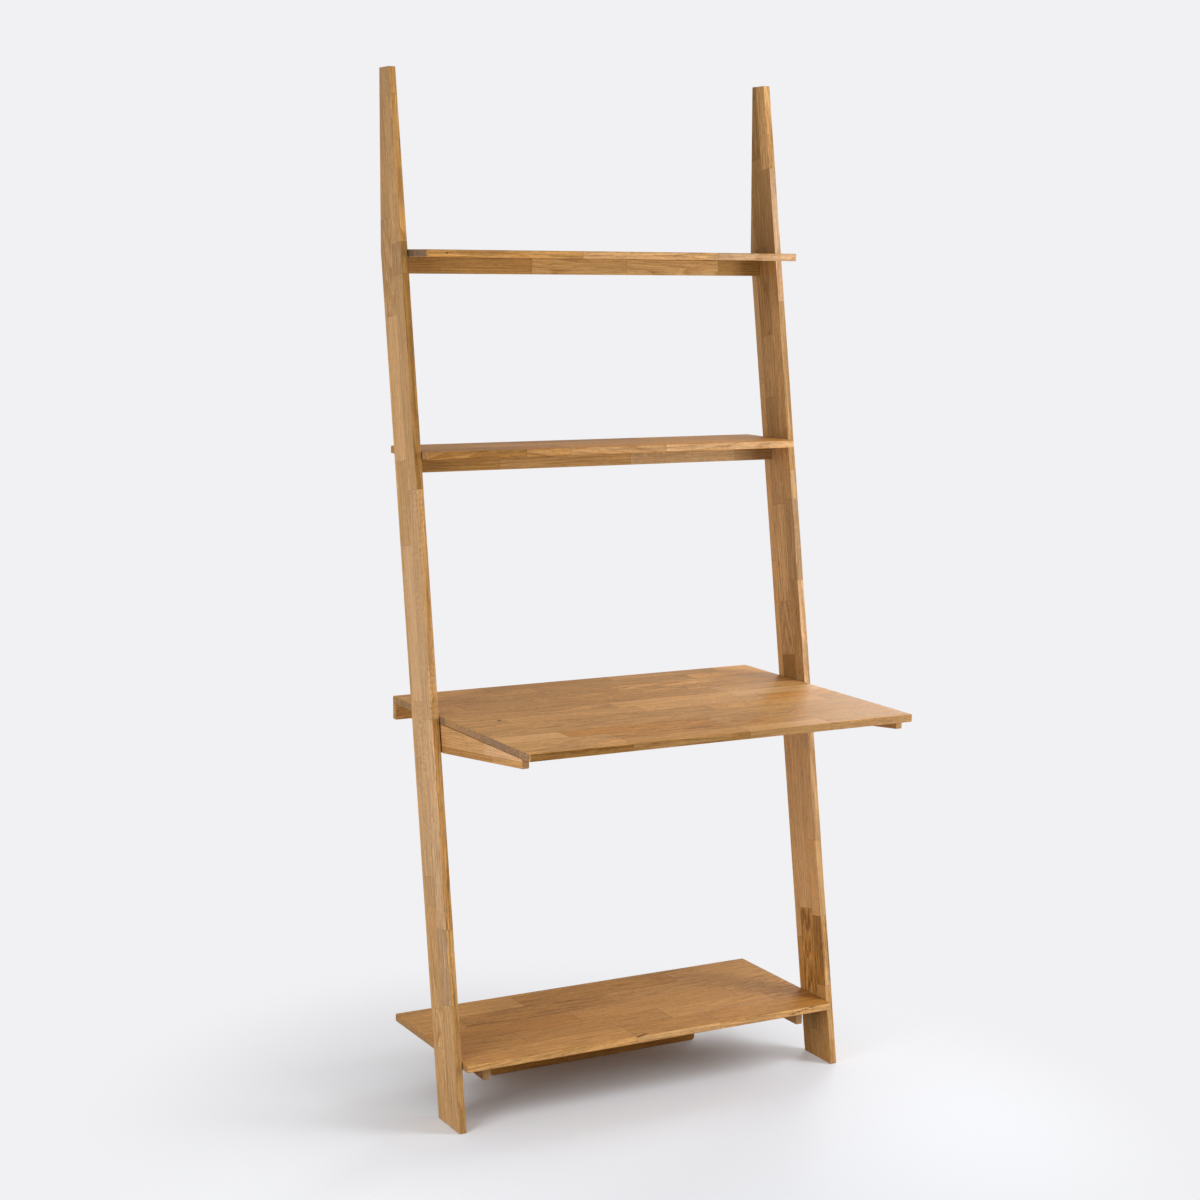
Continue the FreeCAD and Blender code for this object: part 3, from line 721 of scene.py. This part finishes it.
# Millimetres off the wall for the glue lines, across from the middle for the joints.
PLANS["top_shelf"] = dict(
    rows=(52, 118),
    joints=((-230, 60, 270), (-120, 180), (-76, 210)),
    looks=(
        (), (),
        ((0, 0.3, "rift", 1.2), (0.02, 0.2, "plain", 1.2), (-0.03, 0.3, "quarter", 1))),
    front_row=2, edges=((0, 0.4), (0.17, -3.2), (0.27, -5.1)),
    # The left end goes far to end grain, nearest the rail most: partly end grain and partly painted shade
    # that the left rail casts on it.
    ends={(1, 0): 1, (2, 0): 0.85},
    end_share=0.7)
PLANS["middle_shelf"] = dict(
    rows=(48, 112),
    joints=((-150, 120), (-260, 40, 300), (-190, -100, 100)),
    looks=(
        (), (),
        ((-0.25, 2.5, "plain", 1.3), (-0.08, 3, "plain", 1.2), (0.14, 2, "plain", 1.2),
         (0.18, 2, "rift", 1))),
    front_row=2, edges=((-0.2, -0.7), (0, -3.4), (-0.12, -4.9), (0.05, -6.1)),
    ends={(2, 0): 0.5},
    end_share=0.3)
PLANS["desk_top"] = dict(
    rows=(45, 96, 147, 199, 250, 302, 353, 405, 456, 508, 559),
    joints=((-210, 60, 300), (-120, 215), (-290, 20, 250), (-322, -176, 187), (-250, 187), (-60, 190),
            (-300, -30, 230), (-240, 90, 330), (-150, 240), (-262, 30, 200), (-190, 109),
            (-190, 40, 210)),
    looks=(
        ((0, 0.6), (-0.26, 2), (), (0.26, 0.8)),
        ((-0.07, 0.7), (-0.16, 0.6), (0.18, 1.3)),
        ((-0.13, 0.7), (-0.16, 0.8), (), (-0.03, 1.1)),
        ((0.02, 0), (-0.18, 0.6), (-0.05, 0.8), (-0.12, 1.4)),
        ((-0.17, 0.6), (-0.16, 1.2), (0.1, -0.7)),
        ((-0.06, 0.2), (0.16, 0), (0.32, -2.2)),
        ((0, 0.3), (), (0.16, -0.2), (0.07, 3)),
        ((-0.02, 0.3), (-0.06, 0.3), (0.09, 1.6), (-0.15, 2.4)),
        ((-0.04, -0.2), (-0.04, 0.6), (-0.1, 2)),
        ((0.24, -1.4, "rift", 0.8), (-0.13, 4.2, "plain", 1.2), (-0.04, 0.6), (-0.18, 3.8)),
        ((0.05, -0.4), (-0.13, 3, "plain", 1.4), (-0.13, 3)),
        ((0.06, 0), (0, 1.6), (0.12, 0), (-0.13, 2.8))),
    front_row=11, edges=((-0.69, 2.8), (-0.35, -1.7), (-0.31, -1.6), (0.03, -4.9)),
    ends={(0, 0): 0.5, (1, 0): 0.7, (4, 0): 0.85, (5, 0): 0.52, (6, 0): 0.58, (7, 0): 0.7, (8, 0): 0.8,
          (9, 0): 0.86, (10, 0): 0.8, (11, 0): 0.72},
    end_share=0.76)
# The bottom shelf's staves are drawn darker than the other boards', partly their own tone and partly
# painted shade from the writing surface above them.
PLANS["bottom_shelf"] = dict(
    rows=(12.5, 79, 145, 211, 276.5),
    joints=((-60, 240), (-148, 190), (-310, 20), (-90, 250), (-234, 70, 300), (-42, 138)),
    looks=(
        ((-0.18, 0.8), (-0.26, 1.2), (-0.24, 1.2)),
        ((-0.2, 1, "rift", 0.8), (-0.44, 3.8, "plain", 0.9), (-0.28, 1.6)),
        ((-0.18, 0.8), (-0.39, 3, "rift", 1.4), (-0.3, 1.6)),
        ((-0.36, 4.4, "rift", 0.8), (-0.27, 2.2), (-0.28, 1.6)),
        ((-0.32, 2.7, "rift", 0.9), (-0.34, 2.6, "rift", 0.9), (-0.2, 1.8), (-0.26, 2)),
        ((-0.18, 1.6, "plain", 0.9), (-0.33, 3, "rift", 0.9), (-0.28, 3.4, "plain", 1))),
    front_row=5, edges=((0.33, -3), (0.59, -5.8), (0.4, -5.4)),
    end_share=0.36)

# Millimetres across from the middle for the joints.
# The rightmost stave of the top and middle aprons is drawn darker, partly its own tone and partly painted
# shade beside the right rail.
PLANS["top_apron"] = dict(
    joints=((-112, 89, 291),),
    looks=(
        ((-0.24, 3.1, "rift", 1), (0.03, 1, "plain", 1.1), (0.08, 0.5, "plain", 1.1),
         (-0.26, 2.7, "rift", 1)),))
PLANS["middle_apron"] = dict(
    joints=((-205, 70, 300),),
    looks=(
        ((-0.22, 2.9, "rift", 1.1), (-0.08, 0.8, "rift", 1.1), (0.03, -2, "quarter", 1.1),
         (-0.28, -0.8, "rift", 1.1)),))
PLANS["desk_apron"] = dict(
    joints=((-240, 110, 280),),
    looks=(
        ((-0.38, 1.2, "plain", 1.3), (-0.24, 0.6, "rift", 1), (-0.3, 0.9, "plain", 1.1),
         (-0.2, 0.4, "rift", 1)),))

# Millimetres above the sawn lower edge for the glue line, ahead of its front end for the joints.
PLANS["left_desk_bracket"] = PLANS["right_desk_bracket"] = dict(
    rows=(12,),
    joints=((-330, -120), (-155,)),
    looks=(
        ((-0.52, 4.4, "rift", 0.7), (-0.5, 4, "rift", 0.7), (-0.26, 2, "rift", 0.7)),
        ((-0.16, 1, "rift", 0.7), (-0.02, -1.4, "rift", 0.7))))

# Millimetres forward of the rear end for the joint.
PLANS["left_shelf_cleat"] = PLANS["right_shelf_cleat"] = dict(
    joints=((92,),))

# Millimetres up for the glue lines, across from the middle for the joints.
PLANS["rear_foot"] = dict(
    rows=(34, 80),
    joints=((-60,), (-130, 110), (40,)),
    looks=(
        ((-0.34, 3.6, "rift", 1), (-0.28, 3.2, "rift", 1)),
        ((-0.22, 2.6), (-0.15, 2), (-0.24, 2.4)),
        ((-0.18, 2.2), (-0.24, 2.4))))


# ---- shared places ----

def box_of(node):
    """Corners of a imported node."""
    return tuple(Vector(corner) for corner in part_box(node))


def lean():
    """How far the rails lean back for each metre up."""
    low, high = box_of("left_rail")
    return (high.y - sizes().head_reach - low.y) / (high.z - low.z)


def rail_front(z):
    """Depth of the rails' front edge at a height."""
    return box_of("left_rail")[0].y + lean() * z


def screw_recess(x, y, underside):
    """Bit for the recess that a screw's head sits in, from below."""
    return bit((x, y, underside - BIT_OVERRUN), (x, y, underside + SCREW_RECESS_DEPTH),
               sizes().screw_head_diameter / 2 + SCREW_CLEARANCE)


def cam_bit(start, end):
    """Bit for the pocket of a cam housing."""
    return bit(start, end, sizes().cam_diameter / 2 + CAM_CLEARANCE)


class OBJECT_OT_ladder_desk_rails(bpy.types.Operator):
    """Make the two sloping side rails"""

    bl_idname = "object.ladder_desk_rails"
    bl_label = "Side rails"

    def execute(self, context):
        material = oiled_oak("oak_rails_planed_and_oiled", "pale")
        for node in ("left_rail", "right_rail"):
            low, high, rail = blank(node)
            slope = Vector((0, lean(), 1)).normalized()
            outward = Vector((0, slope.z, -slope.y))
            saw(rail, (0, low.y, 0), -outward)
            saw(rail, (0, low.y + sizes().rail_depth, 0), outward)
            joints = [[z / slope.z for z in row] for row in PLANS[node]["joints"]]
            boards = Boards(low, slope, outward, **dict(PLANS[node], joints=joints))
            finish_wood(rail, node, material, boards)
        return {"FINISHED"}


class OBJECT_OT_ladder_desk_boards(bpy.types.Operator):
    """Make the two shelves, the writing surface and the bottom shelf"""

    bl_idname = "object.ladder_desk_boards"
    bl_label = "Boards"

    def execute(self, context):
        wall = box_of("desk_top")[1].y
        # Where a knot, a crack or a brown streak lies, how far it reaches along x, y and z in
        # millimetres, and how faint it is.
        crack = [((-0.038 + 0.006 * step, wall - 0.3411 + 0.0016 * step, 0.124), (4.5, 2.7, 1.5), 0)
                 for step in range(4)]
        streak = [((0.298 + 0.014 * step, wall - 0.342, 0.1148 + 0.0025 * step), (15, 4, 2.8), 0.6)
                  for step in range(4)]
        spots = {
            "top_shelf": [((-0.346, wall - 0.180, 1.567), (1.9, 2, 1.6), 0)],
            "middle_shelf": [],
            "desk_top": [((-0.308, wall - 0.315, 0.741), (3.2, 6.0, 2), 0),
                         ((-0.268, wall - 0.130, 0.741), (1.6, 3.0, 2), 0)],
            "bottom_shelf": crack + streak,
        }
        for node in spots:
            low, high, board = blank(node)
            middle_z = (low.z + high.z) / 2
            bevel_edges(board, lambda middle, way: abs(way.z) > ALONG_AXIS,
                        sizes().corner_radius, segments=5)
            boards = Boards((0, high.y, middle_z), X_AXIS, FORWARD, **PLANS[node])
            cutters = []
            if node == "bottom_shelf":
                y = rail_front(middle_z) + sizes().rail_depth / 2
                cutters = [cam_bit((x, y, low.z - BIT_OVERRUN), (x, y, low.z + CAM_DEPTH))
                           for x in (-SHELF_CAM_X, SHELF_CAM_X)]
            material = oiled_oak(node + "_oak_sanded_and_oiled", "amber", spots[node],
                                 coarse=1.8, contrast=1.4)
            finish_wood(board, node, material, boards, cutters,
                        sizes().board_edge_radius)
        return {"FINISHED"}


class OBJECT_OT_ladder_desk_aprons(bpy.types.Operator):
    """Make the three battens that run between the rails and at the wall"""

    bl_idname = "object.ladder_desk_aprons"
    bl_label = "Aprons"

    def execute(self, context):
        battens = oiled_oak("oak_battens_planed_and_oiled", "batten", contrast=1.1)
        at_wall = oiled_oak("oak_wall_batten_planed_and_oiled", "amber", contrast=1.1)
        for node in ("top_apron", "middle_apron", "desk_apron"):
            low, high, batten = blank(node)
            middle = (low + high) / 2
            boards = Boards((0, middle.y, low.z), X_AXIS, UP, **PLANS[node])
            cutters = [screw_recess(x, middle.y, low.z) for x in APRON_SCREWS_X]
            if node == "desk_apron":
                material = at_wall
                cutters += [bit((x, low.y - BIT_OVERRUN, middle.z),
                                (x, high.y + BIT_OVERRUN, middle.z), WALL_SCREW_DIAMETER / 2)
                            for x in WALL_SCREWS_X]
            else:
                material = battens
                z = middle.z + APRON_CAM_ABOVE_MIDDLE
                cutters += [cam_bit((x, high.y + BIT_OVERRUN, z), (x, high.y - CAM_DEPTH, z))
                            for x in (-APRON_CAM_X, APRON_CAM_X)]
            finish_wood(batten, node, material, boards, cutters)
        return {"FINISHED"}


class OBJECT_OT_ladder_desk_brackets(bpy.types.Operator):
    """Make the two tapered brackets under the writing surface"""

    bl_idname = "object.ladder_desk_brackets"
    bl_label = "Desk brackets"

    def execute(self, context):
        material = oiled_oak("oak_brackets_planed_and_oiled", "rosy")
        for node in ("left_desk_bracket", "right_desk_bracket"):
            low, high, bracket = blank(node)
            shoulder = Vector((0, rail_front(low.z), low.z))
            nose = Vector((0, low.y, high.z - sizes().bracket_front_height))
            slope = (shoulder - nose).normalized()
            outward = Vector((0, slope.z, -slope.y))
            saw(bracket, shoulder, outward)
            # The staves run along the sawn lower edge.
            boards = Boards(nose, -slope, -outward, **PLANS[node])
            x = (low.x + high.x) / 2
            first = low.y + BRACKET_SCREW_FRONT_MARGIN
            last = shoulder.y - BRACKET_SCREW_REAR_MARGIN
            cutters = []
            for y in (first, (first + last) / 2, last):
                underside = nose.z + (low.z - nose.z) * (y - low.y) / (shoulder.y - low.y)
                cutters.append(bit((x, y, underside - SLOPED_BIT_OVERRUN),
                                   (x, y, high.z - BRACKET_SCREW_GRIP),
                                   sizes().screw_head_diameter / 2 + SCREW_CLEARANCE))
            # A shadow line runs along both faces, where the bracket meets the board.
            for face, side in ((low.x, -1), (high.x, 1)):
                inner, outer = sorted((face - side * sizes().shadow_line_depth, face + side * MM))
                cutters.append(block("groove_cutter",
                                     (inner, low.y - MM, high.z - sizes().shadow_line_height),
                                     (outer, high.y + MM, high.z + MM)))
            finish_wood(bracket, node, material, boards, cutters,
                        sizes().board_edge_radius)
        return {"FINISHED"}


class OBJECT_OT_ladder_desk_cleats(bpy.types.Operator):
    """Make the two battens under the bottom shelf"""

    bl_idname = "object.ladder_desk_cleats"
    bl_label = "Shelf cleats"

    def execute(self, context):
        material = oiled_oak("oak_cleats_planed_and_oiled", "pale")
        for node in ("left_shelf_cleat", "right_shelf_cleat"):
            low, high, batten = blank(node)
            middle = (low + high) / 2
            boards = Boards((middle.x, high.y, low.z), FORWARD, UP, **PLANS[node])
            cutters = [screw_recess(middle.x, y, low.z)
                       for y in (low.y + CLEAT_SCREW_MARGIN, middle.y, high.y - CLEAT_SCREW_MARGIN)]
            finish_wood(batten, node, material, boards, cutters)
        return {"FINISHED"}


class OBJECT_OT_ladder_desk_foot(bpy.types.Operator):
    """Make the board that stands under the back of the bottom shelf"""

    bl_idname = "object.ladder_desk_foot"
    bl_label = "Rear foot"

    def execute(self, context):
        low, high, foot = blank("rear_foot")
        bevel_edges(foot, lambda middle, way: middle.z < MM and abs(way.y) > ALONG_AXIS,
                    sizes().foot_corner_radius, segments=6)
        boards = Boards((0, (low.y + high.y) / 2, low.z), X_AXIS, UP, **PLANS["rear_foot"])
        finish_wood(foot, "rear_foot", oiled_oak("oak_foot_planed_and_oiled", "amber"),
                    boards)
        return {"FINISHED"}


class OBJECT_OT_ladder_desk_fixings(bpy.types.Operator):
    """Give the screws, bolts, cams, sleeves, spacers and dowels their finishes"""

    bl_idname = "object.ladder_desk_fixings"
    bl_label = "Fixings"

    def execute(self, context):
        colours = context.scene.ladder_desk_colours
        # Zinc plating gives steel a pale, half-bright grey.
        dress(mottled("steel_zinc_plated", colours.steel, 0.32, 1.2),
              "cam_connectors", "bracket_bolts", "bracket_screws", "apron_screws",
              "cleat_screws", "foot_angles", "angle_screws")
        # The die leaves a duller grey skin.
        dress(mottled("zinc_die_cast", colours.cast_zinc, 0.42, 0.8), "cam_housings")
        # Turning leaves brass bright and yellow.
        dress(mottled("brass_turned", colours.brass, 0.28, 1.0), "bracket_insert_nuts")
        # The mould leaves nylon near black with a soft sheen.
        dress(mottled("nylon_moulded", colours.nylon, 0.45, 0.6, metallic=0.0), "bracket_spacers")
        # Beech comes off the lathe pale and dull.
        dress(mottled("beech_turned", colours.beech, 0.62, 1.6, metallic=0.0),
              "apron_dowels", "shelf_dowels")
        return {"FINISHED"}


def softbox(name, place, target, width, height, watts, colour="#FFFFFF"):
    """Soft rectangular lamp that looks at a point."""
    lamp = bpy.data.lights.new(name, "AREA")
    lamp.shape = "RECTANGLE"
    lamp.size, lamp.size_y = width, height
    lamp.energy = watts
    lamp.color = linear(colour)[:3]
    holder = bpy.data.objects.new(name, lamp)
    bpy.context.collection.objects.link(holder)
    holder.location = place
    holder.visible_camera = False
    holder.rotation_euler = (Vector(target) - Vector(place)).to_track_quat("-Z", "Y").to_euler()


def seen_ray(add):
    """1 for rays that look or mirror, 0 for rays that light."""
    path = add("LightPath").outputs
    seen = add("MAXIMUM", path["Is Camera Ray"], path["Is Glossy Ray"])
    return add("MAXIMUM", seen, path["Is Transmission Ray"])


class OBJECT_OT_ladder_desk_studio(bpy.types.Operator):
    """Make the floor, the surroundings, the lamps and the camera"""

    bl_idname = "object.ladder_desk_studio"
    bl_label = "Studio"

    def make_floor(self, colours):
        """Plain matt paint that fades into the backdrop."""
        deselect()
        bpy.ops.mesh.primitive_circle_add(
            vertices=96, radius=FLOOR_RADIUS, fill_type="NGON", location=(0, 0, -FLOOR_DROP))
        floor = bpy.context.object
        floor.name = "floor"
        bpy.ops.object.transform_apply(location=True, rotation=True, scale=True)
        material, add = new_material("floor_matt_paint")
        seen = seen_ray(add)
        # The shadow stays round the foot of the desk, and the paint runs out into the backdrop.
        place = add("TexCoord").outputs["Object"]
        reach = add("VectorMath SUBTRACT", place, SHADOW_MIDDLE)
        reach = add("VectorMath MULTIPLY", reach, SHADOW_SQUEEZE)
        reach = add("VectorMath LENGTH", reach)
        edge = add("MapRange", {"Value": reach, "From Min": FADE_START, "From Max": FADE_END},
                   interpolation_type="SMOOTHSTEP")
        far = add("MULTIPLY", edge, seen)
        # Less light comes back up from the paint than is seen on it, so the shadow isn't brown.
        shade = add("Mix RGBA", {"Factor": seen, "A": colours.floor_bounce, "B": colours.floor})
        paint = add("BsdfDiffuse", {"Color": shade})
        plain = add("Emission", {"Color": colours.backdrop, "Strength": 1.0})
        faded = add("MixShader", far, paint, plain)
        # Looked at from below, the floor lets the desk's underside be seen.
        below = add("NewGeometry").outputs["Backfacing"]
        open_below = add("MixShader", below, faded, add("BsdfTransparent"))
        add("OutputMaterial", {"Surface": open_below})
        floor.data.materials.append(material)

    def make_world(self, scene, colours):
        """White light from all round, and the plain backdrop where it is looked at."""
        world = bpy.data.worlds.new("studio")
        scene.world = world
        world.use_nodes = True
        world.node_tree.nodes.clear()
        add = partial(put, world.node_tree)
        lit = add("Background", {"Color": linear("#FFFFFF"), "Strength": SKY_STRENGTH})
        shown = add("Background", {"Color": colours.backdrop, "Strength": 1.0})
        both = add("MixShader", seen_ray(add), lit, shown)
        add("OutputWorld", {"Surface": both})

    def make_camera(self, context):
        """Camera that stands in front and to the left, as high as the top shelf."""
        camera = bpy.data.cameras.new("camera")
        holder = bpy.data.objects.new("camera", camera)
        context.collection.objects.link(holder)
        azimuth, elevation, roll = (math.radians(turn) for turn in CAMERA_TURNS)
        ahead = Vector((math.sin(azimuth) * math.cos(elevation),
                        math.cos(azimuth) * math.cos(elevation), -math.sin(elevation)))
        right = ahead.cross(UP).normalized()
        right, upward = turned(right, right.cross(ahead), roll)
        basis = Matrix((right, upward, -ahead)).transposed()
        holder.matrix_world = Matrix.Translation(CAMERA_PLACE) @ basis.to_4x4()
        camera.lens = 71.3247
        camera.sensor_width = 36
        camera.sensor_fit = "HORIZONTAL"
        camera.shift_x, camera.shift_y = -0.12174, -0.03268
        camera.clip_start, camera.clip_end = 0.1, 50
        context.scene.camera = holder

    def execute(self, context):
        scene = context.scene
        scene.view_settings.view_transform = "Standard"
        self.make_floor(scene.ladder_desk_colours)
        self.make_world(scene, scene.ladder_desk_colours)
        softbox("key_right", (1.35, -1.0, 1.35), (0.2, 0, 1.0),
                width=0.6, height=1.6, watts=22, colour="#F8FBFF")
        softbox("fill_left", (-1.5, -0.55, 0.95), (-0.2, 0, 0.85),
                width=0.7, height=1.4, watts=13.4)
        softbox("rim_right", (1.45, 1.25, 1.25), (0.3, 0, 0.8), width=0.6, height=1.0, watts=12)
        softbox("low_right", (1.5, -0.75, 0.35), (0.2, 0, 0.05), width=0.6, height=0.3, watts=5)
        self.make_camera(context)
        return {"FINISHED"}


class VIEW3D_PT_ladder_desk(bpy.types.Panel):
    """Lists the steps that make the ladder desk"""

    bl_idname = "VIEW3D_PT_ladder_desk"
    bl_label = "Ladder desk"
    bl_space_type = "VIEW_3D"
    bl_region_type = "UI"
    bl_category = "Ladder desk"

    def draw(self, context):
        for operator in OPERATORS:
            self.layout.operator(operator.bl_idname)


OPERATORS = (
    OBJECT_OT_ladder_desk_rails,
    OBJECT_OT_ladder_desk_boards,
    OBJECT_OT_ladder_desk_aprons,
    OBJECT_OT_ladder_desk_brackets,
    OBJECT_OT_ladder_desk_cleats,
    OBJECT_OT_ladder_desk_foot,
    OBJECT_OT_ladder_desk_fixings,
    OBJECT_OT_ladder_desk_studio,
)
CLASSES = (LadderDeskSizes, LadderDeskColours) + OPERATORS + (VIEW3D_PT_ladder_desk,)


def register():
    """Add the classes and the settings."""
    for made in CLASSES:
        bpy.utils.register_class(made)
    bpy.types.Scene.ladder_desk_sizes = bpy.props.PointerProperty(type=LadderDeskSizes)
    bpy.types.Scene.ladder_desk_colours = bpy.props.PointerProperty(type=LadderDeskColours)


def unregister():
    """Take the classes and the settings away."""
    del bpy.types.Scene.ladder_desk_colours
    del bpy.types.Scene.ladder_desk_sizes
    for made in reversed(CLASSES):
        bpy.utils.unregister_class(made)


def main():
    """Make everything."""
    register()
    for operator in OPERATORS:
        getattr(bpy.ops.object, operator.bl_idname.split(".")[1])()


if __name__ == "__main__":
    main()
